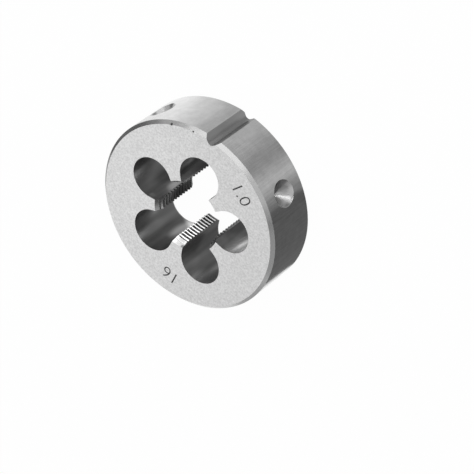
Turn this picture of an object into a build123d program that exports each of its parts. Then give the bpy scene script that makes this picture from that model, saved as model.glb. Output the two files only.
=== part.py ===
from build123d import *
from math import ceil, cos, radians, sin, sqrt, tan
import os

# Round threading die for a fine metric thread, one hardened piece.
# It lies on its back face with the starting face up. Z is the thread axis,
# the notch in the rim points along +Y, and sizes are millimetres.

# Disc
body_d = 45.0
thickness = 14.0
rim_chamfer = 0.75

# Internal thread, right hand
thread_d = 16.0
pitch = 1.0
flank_angle = 30.0
root_clearance = 0.07
thread_phase = 0.12
start_d = 17.0
start_angle = 30.0

# Chip holes, one between each pair of lands
land_count = 5
chip_hole_d = 10.0
chip_hole_pcd = 22.3
cutting_face_angle = 6.0
heel_face_angle = 10.0

# Notch in the rim for the centre screw of the die holder
notch_width = 4.0
notch_angle = 85.0
notch_radius = 0.9

# Conical recesses in the rim for the two side screws
recess_d = 6.0
recess_angle = 90.0
recess_bearing = 47.5

# Clearances for the cutting shapes
overcut = 1.0
flank_overcut = 0.1

# Derived sizes
body_r = body_d / 2
half_step = 180.0 / land_count
notch_bearing = 90.0
thread_height = pitch / (2 * tan(radians(flank_angle)))
groove_depth = thread_height * 5 / 8
major_r = thread_d / 2
minor_r = major_r - groove_depth
root_r = major_r + root_clearance
groove_floor = pitch / 8 - 2 * root_clearance * tan(radians(flank_angle))
groove_inner_r = minor_r - flank_overcut
groove_inner_width = groove_floor + 2 * (root_r - groove_inner_r) * tan(radians(flank_angle))
chip_hole_r = chip_hole_d / 2
chip_centre_r = chip_hole_pcd / 2
land_foot_r = minor_r - overcut

# Chip hole centre seen from the middle line of the next land
chip_along = chip_centre_r * cos(radians(half_step))
chip_across = chip_centre_r * sin(radians(half_step))


# Points of a land side: where it leaves the chip hole, and where it passes the bore.
def land_side(face_angle, hand):
    tilt = radians(face_angle)
    along = chip_along + chip_hole_r * sin(tilt)
    across = chip_across - chip_hole_r * cos(tilt)
    points = []
    for reach in (along, land_foot_r):
        width = across - (along - reach) * tan(tilt)
        x = reach * cos(radians(half_step)) + width * sin(radians(half_step))
        y = reach * sin(radians(half_step)) - width * cos(radians(half_step))
        points.append((x, hand * y))
    return points


heel_side = land_side(heel_face_angle, 1)
cutting_side = land_side(cutting_face_angle, -1)

# One turn of thread groove across one land, swept along its helix
groove_span = half_step
groove_rise = pitch * groove_span / 360

with BuildPart() as groove:
    with BuildLine() as groove_path:
        Helix(pitch=pitch, height=groove_rise, radius=minor_r)
    with BuildSketch(Plane.XZ) as groove_section:
        with BuildLine():
            Polyline(
                (groove_inner_r, -groove_inner_width / 2),
                (root_r, -groove_floor / 2),
                (root_r, groove_floor / 2),
                (groove_inner_r, groove_inner_width / 2),
                close=True,
            )
        make_face()
    sweep(path=groove_path.line, is_frenet=True)

# Places of the grooves: they climb one pitch a turn from land to land
groove_places = []
for land in range(land_count):
    land_bearing = notch_bearing + half_step + land * 2 * half_step
    first_rise = (thread_phase + land_bearing / 360 + 1 / 4) % 1 * pitch
    for turn in range(ceil(thickness / pitch) + 1):
        rise = first_rise + turn * pitch - groove_rise / 2
        groove_places.append(Location((0, 0, rise), (0, 0, land_bearing - groove_span / 2)))

with BuildPart() as round_die:
    # Disc with both rim edges chamfered
    Cylinder(body_r, thickness, align=(Align.CENTER, Align.CENTER, Align.MIN))
    chamfer(round_die.edges().filter_by(GeomType.CIRCLE), rim_chamfer)

    # Chip holes, opened into the bore between the straight land sides
    with BuildSketch() as chip_space:
        with PolarLocations(0, land_count, notch_bearing):
            with Locations((chip_centre_r, 0)):
                Circle(chip_hole_r)
            Polygon((chip_centre_r, 0), *heel_side, *reversed(cutting_side), align=None)
    extrude(amount=thickness, mode=Mode.SUBTRACT)

    # Bore at the minor diameter with a starting taper at each face
    with Locations((0, 0, thickness)):
        CounterSinkHole(minor_r, start_d / 2, counter_sink_angle=2 * start_angle)
    with Locations(Plane.XY.rotated((180, 0, 0))):
        CounterSinkHole(minor_r, start_d / 2, counter_sink_angle=2 * start_angle)

    # Thread grooves
    with Locations(*groove_places):
        add(groove.part, mode=Mode.SUBTRACT)

    # Notch along the rim
    notch_apex = body_r - notch_width / 2 / tan(radians(notch_angle / 2))
    notch_mouth = body_r + overcut
    mouth_half = (notch_mouth - notch_apex) * tan(radians(notch_angle / 2))
    with BuildSketch() as notch:
        Polygon((0, notch_apex), (mouth_half, notch_mouth), (-mouth_half, notch_mouth), align=None)
        fillet(notch.vertices().sort_by(Axis.Y)[0], notch_radius)
    extrude(amount=thickness, mode=Mode.SUBTRACT)

    # Conical recesses at half height
    recess_slope = tan(radians(recess_angle / 2))
    rim_sag = body_r - sqrt(body_r**2 - (recess_d / 2) ** 2)
    recess_apex = body_r - rim_sag - recess_d / 2 / recess_slope
    cone_height = body_r + overcut - recess_apex
    for side in (-1, 1):
        bearing = radians(notch_bearing + side * recess_bearing)
        seat = Plane(origin=(0, 0, thickness / 2), z_dir=(cos(bearing), sin(bearing), 0))
        with Locations(seat.offset(recess_apex)):
            Cone(
                0,
                cone_height * recess_slope,
                cone_height,
                align=(Align.CENTER, Align.CENTER, Align.MIN),
                mode=Mode.SUBTRACT,
            )

os.makedirs("parts", exist_ok=True)
round_die.part.label = "round_die"
export_step(round_die.part, "parts/round_die.step")
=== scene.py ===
# Round threading die: finish of the steel, size figures, floor, light and camera.
import math
import bmesh
import bpy
from mathutils import Matrix, Vector


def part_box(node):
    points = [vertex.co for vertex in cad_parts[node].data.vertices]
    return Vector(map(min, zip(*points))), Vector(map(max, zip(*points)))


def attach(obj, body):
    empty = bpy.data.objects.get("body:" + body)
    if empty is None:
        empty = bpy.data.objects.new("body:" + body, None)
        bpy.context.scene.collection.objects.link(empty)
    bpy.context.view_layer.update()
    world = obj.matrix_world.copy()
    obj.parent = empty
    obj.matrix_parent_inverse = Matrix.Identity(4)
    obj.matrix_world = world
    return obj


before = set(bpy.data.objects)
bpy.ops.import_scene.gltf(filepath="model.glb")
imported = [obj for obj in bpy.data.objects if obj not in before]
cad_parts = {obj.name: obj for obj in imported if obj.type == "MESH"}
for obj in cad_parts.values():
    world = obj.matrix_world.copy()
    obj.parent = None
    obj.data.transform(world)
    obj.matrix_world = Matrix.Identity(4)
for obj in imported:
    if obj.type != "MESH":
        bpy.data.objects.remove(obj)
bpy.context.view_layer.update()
print("frame loaded")

mm = 0.001
low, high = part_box("round_die")
bodyRadius = (high.x - low.x) / 2
thickness = high.z - low.z


# values or sockets go into a node's inputs, by number (i0, i1) or by name
def addNode(tree, kind, settings=None, **inputs):
    node = tree.nodes.new(kind)
    for name, value in (settings or {}).items():
        setattr(node, name, value)
    for name, value in inputs.items():
        numbered = name[0] == "i" and name[1:].isdigit()
        socket = node.inputs[int(name[1:])] if numbered else node.inputs[name]
        if isinstance(value, bpy.types.NodeSocket):
            tree.links.new(value, socket)
        else:
            socket.default_value = value
    return node


def calc(tree, operation, first, second=0.0):
    return addNode(tree, "ShaderNodeMath", {"operation": operation}, i0=first, i1=second).outputs[0]


def product(tree, first, *others):
    for other in others:
        first = calc(tree, "MULTIPLY", first, other)
    return first


def vector(tree, operation, first, second, output="Vector"):
    node = addNode(tree, "ShaderNodeVectorMath", {"operation": operation}, i0=first, i1=second)
    return node.outputs[output]


def split(tree, place):
    return addNode(tree, "ShaderNodeSeparateXYZ", i0=place).outputs


def blend(tree, factor, first, second):
    return addNode(tree, "ShaderNodeMix", {"data_type": "FLOAT"}, i0=factor, i2=first, i3=second).outputs[0]


# even change from 0 to 1 between start and end
def linear(tree, value, start, end):
    return addNode(tree, "ShaderNodeMapRange", i0=value, i1=start, i2=end).outputs[0]


# soft change from one level to the other between start and end
def ramp(tree, value, start, end, before=0.0, after=1.0):
    return addNode(tree, "ShaderNodeMapRange", {"interpolation_type": "SMOOTHSTEP"},
                   i0=value, i1=start, i2=end, i3=before, i4=after).outputs[0]


# soft round spot: one level inside the inner radius, the other outside the outer one
def spot(tree, place, centre, inner, outer, within, beyond, stretch=1.0):
    x, y, z = centre
    squeezed = vector(tree, "MULTIPLY", place, (1, 1, 1 / stretch))
    gap = vector(tree, "DISTANCE", squeezed, (x, y, z / stretch), "Value")
    return ramp(tree, gap, inner, outer, within, beyond)


# soft noise around 0, with its grain size in metres along each axis
def mottle(tree, place, grain, detail=2.0):
    scaled = vector(tree, "MULTIPLY", place, tuple(1 / size for size in grain))
    noise = addNode(tree, "ShaderNodeTexNoise", Vector=scaled, Scale=1.0, Detail=detail).outputs[0]
    return calc(tree, "SUBTRACT", noise, 0.5)


steel = {
    # shade and roughness of each surface
    "face": (0.68, 0.46),
    "rim": (0.5, 0.2),
    "chamfer": (0.46, 0.27),
    "holes": (0.42, 0.3),
    "thread": (0.56, 0.18),
    "notch": (0.36, 0.42),
    "recess": (0.52, 0.33),

    # where the surfaces lie: reach from the axis, and slope as the upright part of the normal
    "threadReach": 8.12 * mm,
    "taperReach": 8.6 * mm,
    "taperSlope": (0.2, 0.3),
    "cutReach": 17.0 * mm,       # outside this the notch and the recesses lie
    "notchHalf": 2.3 * mm,
    "rimSkin": 0.06 * mm,
    "chamferReach": 0.8 * mm,    # from the rim and from either face
    "chamferSlope": 0.4,
    "faceSlope": 0.95,

    # ground grain on the faces, and streaks, bands and blotches elsewhere: size along X, Y and Z
    "faceGrain": (0.42 * mm, 0.42 * mm, 0.42 * mm),
    "streakGrain": (0.42 * mm, 0.42 * mm, 6 * mm),
    "bandGrain": (2.0 * mm, 2.0 * mm, 24 * mm),
    "blotchGrain": (1.6 * mm, 1.6 * mm, 1.6 * mm),
    "streakDetail": 3.0,
    "bandDetail": 1.0,
    "faceMottle": 0.65,
    "rimBlotch": 0.3,
    "rimStreak": 0.4,
    "rimStreakLeft": 0.1,        # fainter streaks on the left, changing over these places along X
    "rimStreakTurn": (-6 * mm, 4 * mm),
    "holeStreak": 0.15,
    "holeBand": 1.1,

    # painted shade in the notch's bed and down the holes (lighter near the front face), and pits on the
    # face
    "paintedNotchShade": (20.5 * mm, 22.3 * mm, 0.85, 1.0),  # painted shade towards the bed of the notch: reach, gain
    "paintedDepthShade": (4 * mm, 13 * mm, 0.75, 1.35),     # painted shade down the holes, painted light near the front face: height, gain
    "pits": [(-10.1, 19.46, 0.24), (-4.69, 21.2, 0.15)],    # on the front face: x, y, radius in mm
    "pitEdge": 1.8,              # outer radius of a pit over its inner one
    "pitShade": 0.12,

    # painted highlights and painted shade spots, in mm: surface, place, inner and outer radius, stretch in
    # Z, gain
    "paintedHighlightsAndShade": [
        ("face", (-20.0, 0.0, 14.0), 5.0, 40.0, 1.0, 1.09),
        ("chamfer", (17.9, 13.0, 13.6), 1.0, 4.0, 1.0, 0.78),
        ("chamfer", (-6.8, 21.0, 13.6), 0.8, 3.0, 1.0, 1.3),
        ("chamfer", (-14.8, 16.4, 13.6), 1.0, 4.0, 1.0, 0.65),
        ("chamfer", (-22.1, -0.8, 13.6), 1.0, 4.5, 1.0, 2.5),
        ("recess", (15.4, 14.6, 5.2), 0.6, 1.5, 1.0, 0.7),
        ("recess", (17.9, 13.4, 4.7), 0.2, 0.8, 1.0, 0.5),
        ("recess", (18.3, 12.9, 6.9), 0.3, 1.2, 1.0, 0.5),
        ("recess", (-18.4, 12.9, 7.1), 0.35, 1.2, 1.0, 0.35),
        ("recess", (-16.4, 15.2, 3.9), 0.2, 0.9, 1.0, 0.45),
        ("notch", (-0.25, 20.8, 7.0), 0.25, 0.6, 60.0, 0.72),
        ("notch", (-1.8, 22.3, 7.0), 0.3, 1.1, 60.0, 0.88),
        ("notch", (-1.0, 21.4, 12.5), 0.6, 3.5, 1.5, 1.15),
        ("thread", (-7.2, -2.4, 3.0), 3.0, 6.5, 1.0, 0.6),
        ("thread", (0.5, -7.6, 2.5), 1.5, 4.5, 1.0, 0.6),
        ("thread", (0.3, -7.5, 9.5), 1.0, 3.5, 1.0, 1.25),
        ("thread", (1.3, -8.3, 13.7), 0.2, 0.8, 1.0, 0.3),
        ("holes", (13.1, -1.0, 11.0), 1.5, 3.5, 2.0, 2.3),
        ("holes", (12.9, -1.1, 13.4), 1.2, 2.6, 1.0, 1.5),
        ("holes", (12.0, -1.4, 9.5), 0.3, 0.9, 6.0, 1.7),
        ("holes", (8.6, -1.3, 12.8), 1.0, 3.0, 1.0, 1.5),
        ("holes", (8.2, -1.2, 6.5), 1.0, 2.6, 1.5, 0.6),
        ("holes", (-9.1, -13.4, 11.0), 0.5, 1.8, 5.0, 1.35),
        ("holes", (-11.5, -9.5, 11.5), 1.2, 3.2, 2.0, 0.5),
        ("holes", (-7.3, -14.0, 6.0), 0.4, 1.5, 5.0, 0.75),
        ("holes", (-4.5, -13.5, 4.2), 1.0, 2.6, 2.0, 2.4),
        ("holes", (-11.8, -1.4, 6.0), 0.7, 2.6, 2.0, 0.5),
        ("holes", (-9.9, -1.5, 12.9), 0.1, 1.0, 1.0, 1.6),
        ("holes", (-8.3, -1.3, 6.2), 0.5, 1.8, 2.0, 2.5),
        ("holes", (-5.0, 11.5, 12.0), 1.5, 3.5, 2.0, 0.35),
        ("holes", (-4.3, 8.6, 12.0), 2.5, 5.0, 2.0, 0.65),
        ("holes", (-4.9, 11.4, 13.4), 2.0, 3.6, 1.0, 0.62),
        ("holes", (1.6, -9.0, 8.0), 2.0, 4.5, 5.0, 0.65),
        ("holes", (3.6, -13.0, 12.5), 0.8, 2.5, 2.0, 1.5),
        ("holes", (8.6, -13.6, 10.0), 0.8, 2.8, 3.0, 2.0),
    ],
}


# masks of the surfaces, where a later one covers an earlier one
def findZones(tree, place, normal, radius):
    x, y, z = split(tree, place)
    upward = calc(tree, "ABSOLUTE", split(tree, normal)[2])
    threadReach = ramp(tree, upward, *steel["taperSlope"], steel["threadReach"], steel["taperReach"])
    outside = calc(tree, "GREATER_THAN", radius, steel["cutReach"])
    inNotch = calc(tree, "LESS_THAN", calc(tree, "ABSOLUTE", x), steel["notchHalf"])
    notchSide = calc(tree, "GREATER_THAN", y, 0.0)
    fromMiddle = calc(tree, "ABSOLUTE", calc(tree, "SUBTRACT", z, thickness / 2))
    nearRim = calc(tree, "GREATER_THAN", radius, bodyRadius - steel["chamferReach"])
    nearFace = calc(tree, "GREATER_THAN", fromMiddle, thickness / 2 - steel["chamferReach"])
    sloped = calc(tree, "GREATER_THAN", upward, steel["chamferSlope"])
    return {
        "thread": calc(tree, "LESS_THAN", radius, threadReach),
        "recess": outside,
        "notch": product(tree, outside, inNotch, notchSide),
        "rim": calc(tree, "GREATER_THAN", radius, bodyRadius - steel["rimSkin"]),
        "chamfer": product(tree, nearRim, nearFace, sloped),
        "face": calc(tree, "GREATER_THAN", upward, steel["faceSlope"]),
    }


# painted highlights and painted shade: spots that lighten or darken a surface's shade
def addPaintedHighlightsAndShade(tree, place, surface, shade):
    for name, (x, y, z), inner, outer, stretch, gain in steel["paintedHighlightsAndShade"]:
        if name == surface:
            centre = (x * mm, y * mm, z * mm)
            paintedSpot = spot(tree, place, centre, inner * mm, outer * mm, gain, 1.0, stretch)
            shade = product(tree, paintedSpot, shade)
    return shade


# grain on the faces, and streaks along the axis on rim and holes
def makePattern(tree, place, zones):
    grain = mottle(tree, place, steel["faceGrain"])
    streaks = mottle(tree, place, steel["streakGrain"], steel["streakDetail"])
    bands = mottle(tree, place, steel["bandGrain"], steel["bandDetail"])
    blotches = mottle(tree, place, steel["blotchGrain"])
    streakiness = ramp(tree, split(tree, place)[0], *steel["rimStreakTurn"],
                       steel["rimStreakLeft"], steel["rimStreak"])
    onRim = calc(tree, "ADD", product(tree, streaks, streakiness),
                 product(tree, blotches, steel["rimBlotch"]))
    inHole = calc(tree, "ADD", product(tree, streaks, steel["holeStreak"]),
                  product(tree, bands, steel["holeBand"]))
    smooth = calc(tree, "MAXIMUM", zones["recess"], zones["thread"])
    smooth = calc(tree, "MAXIMUM", zones["chamfer"], smooth)
    inHole = product(tree, inHole, calc(tree, "SUBTRACT", 1.0, smooth))
    pattern = blend(tree, zones["rim"], inHole, onRim)
    return blend(tree, zones["face"], pattern, product(tree, grain, steel["faceMottle"]))


def makeSteel():
    mat = bpy.data.materials.new("toolSteel")
    mat.use_nodes = True
    tree = mat.node_tree
    shader = tree.nodes["Principled BSDF"]
    shader.inputs["Metallic"].default_value = 1
    coords = addNode(tree, "ShaderNodeTexCoord").outputs
    place = coords["Object"]
    flat = vector(tree, "MULTIPLY", place, (1, 1, 0))
    radius = vector(tree, "LENGTH", flat, (0, 0, 0), "Value")
    zones = findZones(tree, place, coords["Normal"], radius)

    # the walls of the holes come first, and the other surfaces go over them
    shade, rough = steel["holes"]
    # painted shade down the holes, and painted light near the front face
    shade = product(tree, ramp(tree, split(tree, place)[2], *steel["paintedDepthShade"]), shade)
    # painted highlights and painted shade spots on the hole walls
    shade = addPaintedHighlightsAndShade(tree, place, "holes", shade)
    for name, mask in zones.items():
        zoneShade, zoneRough = steel[name]
        if name == "notch":
            # painted shade towards the notch's bed
            zoneShade = product(tree, ramp(tree, radius, *steel["paintedNotchShade"]), zoneShade)
        # painted highlights and painted shade spots on each of the other surfaces
        shade = blend(tree, mask, shade, addPaintedHighlightsAndShade(tree, place, name, zoneShade))
        rough = blend(tree, mask, rough, zoneRough)
    shade = product(tree, shade, calc(tree, "ADD", makePattern(tree, place, zones), 1.0))

    for x, y, size in steel["pits"]:
        centre = (x * mm, y * mm, thickness)
        inner = size * mm
        pit = spot(tree, place, centre, inner, inner * steel["pitEdge"], steel["pitShade"], 1.0)
        shade = product(tree, shade, pit)
    tint = addNode(tree, "ShaderNodeCombineColor", i0=shade, i1=shade, i2=shade)
    tree.links.new(tint.outputs[0], shader.inputs["Base Color"])
    tree.links.new(rough, shader.inputs["Roughness"])
    return mat


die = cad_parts["round_die"]
die.data.materials.clear()
die.data.materials.append(makeSteel())
print("steel made")

figures = {
    "texts": [                   # name, text, place in mm, turn in degrees
        ("sizeFigure", "16", (0.8, -17.2), 171.6),
        ("pitchFigure", "1.0", (10.3, 14.2), -36.0),
    ],
    "height": 4.5 * mm,          # of the type, its digits are about 0.7 of that
    "thinning": 0.05 * mm,
    "lift": 0.001 * mm,          # above the front face
    "shade": 0.03,
    "roughness": 0.6,
}


def makeFigures():
    mat = bpy.data.materials.new("etchedDark")
    mat.use_nodes = True
    shader = mat.node_tree.nodes["Principled BSDF"]
    shader.inputs["Base Color"].default_value = (figures["shade"],) * 3 + (1,)
    shader.inputs["Roughness"].default_value = figures["roughness"]
    for name, text, (x, y), turn in figures["texts"]:
        data = bpy.data.curves.new(name, "FONT")
        data.body = text
        data.size = figures["height"]
        data.offset = -figures["thinning"]
        data.align_x = "CENTER"
        data.align_y = "CENTER"
        outline = bpy.data.objects.new(name + "Outline", data)
        bpy.context.scene.collection.objects.link(outline)
        bpy.context.view_layer.update()
        mesh = bpy.data.meshes.new_from_object(outline)
        bpy.data.objects.remove(outline)
        spotOnFace = Matrix.Translation((x * mm, y * mm, high.z + figures["lift"]))
        mesh.transform(spotOnFace @ Matrix.Rotation(math.radians(turn), 4, "Z"))
        mesh.materials.clear()
        mesh.materials.append(mat)
        piece = bpy.data.objects.new(name, mesh)
        bpy.context.scene.collection.objects.link(piece)
        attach(piece, "root")


makeFigures()
print("figures made")

floorLook = {
    "size": 3.0,
    "shade": 0.8,
    "cameraWhite": 0.98,         # share of plain white in what the camera sees
    "gap": 0.02 * mm,            # keeps the floor just clear of the back face
    "touch": 0.3 * mm,           # an even glow for what lies this close to it
    "touchGlow": 0.8,

    # the glow that the steel mirrors round the die
    "peak": 1.4,
    "glow": [                    # bearing in degrees, share of the peak
        (-180, 0.7), (-170, 0.3), (-158, 0.12), (-146, 0.26), (-136, 1.0), (-110, 1.0), (-85, 0.8),
        (-74, 0.5), (-60, 0.13), (22, 0.125), (27, 0.115), (31, 0.125), (36, 0.26), (50, 0.55),
        (64, 0.34), (86, 0.53), (104, 0.51), (120, 0.75), (140, 0.96), (160, 0.85), (180, 0.7),
    ],
    "leanGain": 22.7,            # turns the glow with the distance, as the rim mirrors it
    "leanReach": 29 * mm,
    "leanBearing": 64,
    "leanFade": (36 * mm, 44 * mm),
    "edgeGlow": 1.15,            # a strip along the near side of the die
    "edgeSlant": 0.07,
    "edgeLine": (21.7 * mm, 20.8 * mm),
    "edgeStart": (-1 * mm, -5 * mm),
    "edgeEnd": (-16 * mm, -8 * mm),
    "farGlow": (12 * mm, 62 * mm, 16 * mm, 26 * mm, 1.7),   # a lighter spot beyond the notch

    # the dim light that the holes show
    "clearance": 2.5 * mm,       # from the rim inwards
    "underBore": 0.04,
    "underHoles": 0.3,
    "boreEdge": (6.0 * mm, 9.0 * mm),
    "patches": [                 # lighter spots: x, y, inner and outer radius, glow
        (-4.6 * mm, -14.6 * mm, 1.2 * mm, 3.6 * mm, 1.1),
        (1.9 * mm, 2.3 * mm, 0.9 * mm, 2.5 * mm, 1.15),
        (1.8 * mm, -0.4 * mm, 1.0 * mm, 2.6 * mm, 0.45),
        (4.2 * mm, 0.2 * mm, 1.2 * mm, 2.8 * mm, 0.6),
        (-3.0 * mm, -2.2 * mm, 1.5 * mm, 4.0 * mm, 0.15),
    ],
}


def addPatch(tree, place, glow, patch):
    x, y, inner, outer, level = patch
    return calc(tree, "MAXIMUM", glow, spot(tree, place, (x, y, 0), inner, outer, level, 0.0))


def glowAround(tree, place, reach):
    x, y, z = split(tree, place)
    bearing = calc(tree, "ARCTAN2", y, x)
    lean = calc(tree, "SINE", calc(tree, "SUBTRACT", bearing, math.radians(floorLook["leanBearing"])))
    lean = product(tree, lean, calc(tree, "SUBTRACT", reach, floorLook["leanReach"]))
    lean = product(tree, lean, ramp(tree, reach, *floorLook["leanFade"], floorLook["leanGain"], 0.0))
    bearing = calc(tree, "SUBTRACT", bearing, lean)
    lookup = addNode(tree, "ShaderNodeValToRGB", i0=linear(tree, bearing, -math.pi, math.pi))
    stops = lookup.color_ramp
    stops.interpolation = "EASE"
    while len(stops.elements) < len(floorLook["glow"]):
        stops.elements.new(1.0)
    for stop, (angle, share) in zip(stops.elements, floorLook["glow"]):
        stop.position = (angle + 180) / 360
        stop.color = (share, share, share, 1)
    around = product(tree, lookup.outputs[0], floorLook["peak"])

    across = calc(tree, "ADD", x, product(tree, y, floorLook["edgeSlant"]))
    strip = ramp(tree, across, *floorLook["edgeLine"], 0.0, floorLook["edgeGlow"])
    start = ramp(tree, y, *floorLook["edgeStart"])
    end = ramp(tree, x, *floorLook["edgeEnd"])
    strip = product(tree, strip, start, end)
    around = calc(tree, "MAXIMUM", around, strip)
    return addPatch(tree, place, around, floorLook["farGlow"])


def glowUnder(tree, place, reach):
    inside = ramp(tree, reach, *floorLook["boreEdge"], floorLook["underBore"], floorLook["underHoles"])
    for patch in floorLook["patches"]:
        inside = addPatch(tree, place, inside, patch)
    return inside


def makeFloorCard():
    mat = bpy.data.materials.new("floorCard")
    mat.use_nodes = True
    tree = mat.node_tree
    tree.nodes.clear()
    ray = addNode(tree, "ShaderNodeLightPath").outputs
    place = addNode(tree, "ShaderNodeTexCoord").outputs["Object"]
    reach = vector(tree, "LENGTH", place, (0, 0, 0), "Value")
    outside = calc(tree, "GREATER_THAN", reach, bodyRadius - floorLook["clearance"])
    touching = calc(tree, "LESS_THAN", ray["Ray Length"], floorLook["touch"])
    glow = blend(tree, outside, glowUnder(tree, place, reach), glowAround(tree, place, reach))
    glow = blend(tree, touching, glow, floorLook["touchGlow"])

    # plain white to the camera, the glow to what mirrors it, and clear from below
    matte = addNode(tree, "ShaderNodeBsdfDiffuse", i0=(floorLook["shade"],) * 3 + (1,)).outputs[0]
    white = addNode(tree, "ShaderNodeEmission", i1=1.0).outputs[0]
    mirrored = addNode(tree, "ShaderNodeEmission", i1=glow).outputs[0]
    clear = addNode(tree, "ShaderNodeBsdfTransparent").outputs[0]
    byCamera = product(tree, ray["Is Camera Ray"], floorLook["cameraWhite"])
    bySteel = calc(tree, "MAXIMUM", ray["Is Glossy Ray"], ray["Is Transmission Ray"])
    below = addNode(tree, "ShaderNodeNewGeometry").outputs["Backfacing"]
    surface = addNode(tree, "ShaderNodeMixShader", i0=byCamera, i1=matte, i2=white).outputs[0]
    surface = addNode(tree, "ShaderNodeMixShader", i0=bySteel, i1=surface, i2=mirrored).outputs[0]
    surface = addNode(tree, "ShaderNodeMixShader", i0=below, i1=surface, i2=clear).outputs[0]
    addNode(tree, "ShaderNodeOutputMaterial", i0=surface)
    return mat


def makeFloor():
    shape = bmesh.new()
    bmesh.ops.create_grid(shape, x_segments=1, y_segments=1, size=floorLook["size"])
    bmesh.ops.translate(shape, verts=shape.verts, vec=(0, 0, low.z - floorLook["gap"]))
    mesh = bpy.data.meshes.new("floor")
    shape.to_mesh(mesh)
    shape.free()
    floor = bpy.data.objects.new("floor", mesh)
    bpy.context.scene.collection.objects.link(floor)
    mesh.materials.append(makeFloorCard())


makeFloor()
print("floor made")

studio = {
    "skyStrength": 0.08,
    "distance": 0.30,            # of each box from the middle of the die
    "boxes": [                   # name, bearing, height angle, width, height, brightness
        ("keyBox", 106, 38, 0.30, 0.30, 1.5),
        ("topBox", 140, 66, 0.16, 0.16, 2.1),
        ("lowBox", 89, 14, 0.09, 0.12, 2.4),
        ("lowLeftBox", 132, 7, 0.13, 0.08, 1.1),
        ("frontBox", 40, 46, 0.27, 0.18, 0.9),
        ("leftBox", 162, 24, 0.18, 0.18, 0.65),
        ("rightBox", -20, 24, 0.34, 0.16, 0.5),
        ("sideBox", -66, 8, 0.22, 0.22, 0.6),
        ("fillBox", 244, 46, 0.34, 0.34, 0.95),
    ],
}


# place and turn of a lamp that looks at the target from a bearing and a height angle
def aimFrom(bearing, elevation, distance, target):
    turn, lift = math.radians(bearing), math.radians(elevation)
    way = Vector((math.cos(lift) * math.cos(turn), math.cos(lift) * math.sin(turn), math.sin(lift)))
    rotation = way.to_track_quat("Z", "Y").to_matrix().to_4x4()
    return Matrix.Translation(target + way * distance) @ rotation


def makeLight():
    world = bpy.data.worlds.new("studioSky")
    world.use_nodes = True
    tree = world.node_tree
    sky = tree.nodes["Background"]
    sky.inputs["Color"].default_value = (1, 1, 1, 1)
    ray = addNode(tree, "ShaderNodeLightPath").outputs
    strength = blend(tree, ray["Is Camera Ray"], studio["skyStrength"], 1.0)     # white to the camera
    tree.links.new(strength, sky.inputs["Strength"])
    bpy.context.scene.world = world
    middle = Vector((0, 0, thickness / 2))
    for name, bearing, elevation, width, height, brightness in studio["boxes"]:
        data = bpy.data.lights.new(name, "AREA")
        data.shape = "RECTANGLE"
        data.size = width
        data.size_y = height
        data.energy = brightness * math.pi * width * height
        lamp = bpy.data.objects.new(name, data)
        bpy.context.scene.collection.objects.link(lamp)
        lamp.matrix_world = aimFrom(bearing, elevation, studio["distance"], middle)


makeLight()
print("light made")

viewpoint = {
    "lens": 176.6,
    "sensor": 36,
    "clipping": (0.01, 10),
    "place": (0.1588, 0.3265, 0.3572),
    "right": (0.78162, 0.25261, -0.57031),       # direction of the picture's right side
    "up": (-0.54898, 0.71268, -0.43671),
}


def makeCamera():
    data = bpy.data.cameras.new("camera")
    data.lens = viewpoint["lens"]
    data.sensor_width = viewpoint["sensor"]
    data.clip_start, data.clip_end = viewpoint["clipping"]
    camera = bpy.data.objects.new("camera", data)
    bpy.context.scene.collection.objects.link(camera)
    right = Vector(viewpoint["right"]).normalized()
    up = Vector(viewpoint["up"])
    up = (up - right * up.dot(right)).normalized()
    turn = Matrix((right, up, right.cross(up))).transposed().to_4x4()
    camera.matrix_world = Matrix.Translation(Vector(viewpoint["place"])) @ turn
    bpy.context.scene.camera = camera


makeCamera()
bpy.context.scene.view_settings.view_transform = "Standard"
print("camera made")
